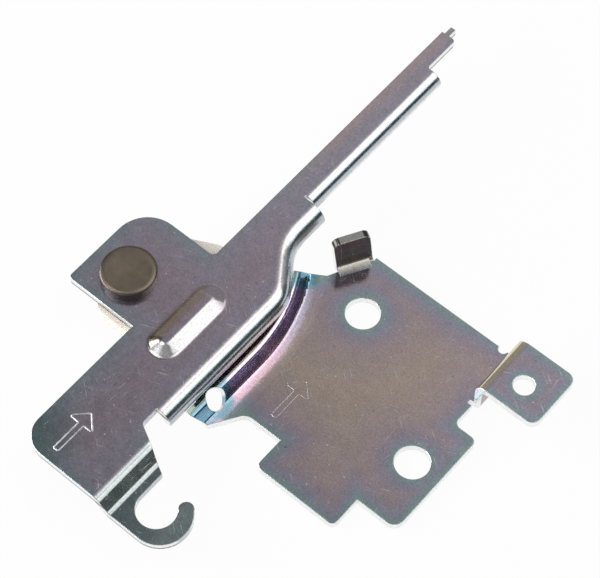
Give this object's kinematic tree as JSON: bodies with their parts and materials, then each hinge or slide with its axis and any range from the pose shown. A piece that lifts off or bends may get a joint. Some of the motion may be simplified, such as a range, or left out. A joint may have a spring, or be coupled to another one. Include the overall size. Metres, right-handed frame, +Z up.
{
  "type": "appliance door hinge",
  "caption": "Folded sheet-metal appliance door hinge: a long lever with a spring hook turns on a rivet over a flat base with fixing holes, stop tab and raised screw tab.",
  "frame": {"origin": "centre of the first fixing hole at the base plate's underside", "axes": "+Z up out of the base plate, along the fixing holes and the rivet; +Y along the lever's arm towards its tip; +X along the plate's back edge towards the screw tab"},
  "size_m": [0.081, 0.1157, 0.0109],
  "materials": {
    "base_zinc": "iridescent zinc plate",
    "lever_zinc": "iridescent zinc plate",
    "rivet_steel": "dark satin",
    "pad_nylon": "natural nylon",
    "washer_zinc": "zinc plate"
  },
  "bodies": {
    "base": {"base_plate": "base_zinc", "pivot_rivet": "rivet_steel", "bearing_pad": "pad_nylon", "tail_washer": "washer_zinc"},
    "lever": {"lever_arm": "lever_zinc"}
  },
  "joints": [
    {"name": "lever_pivot", "type": "hinge", "parent": "base", "child": "lever", "pos_m": [-0.034, -0.0244, 0], "axis": [0, 0, 1], "range_deg": [-8, 88]}
  ]
}
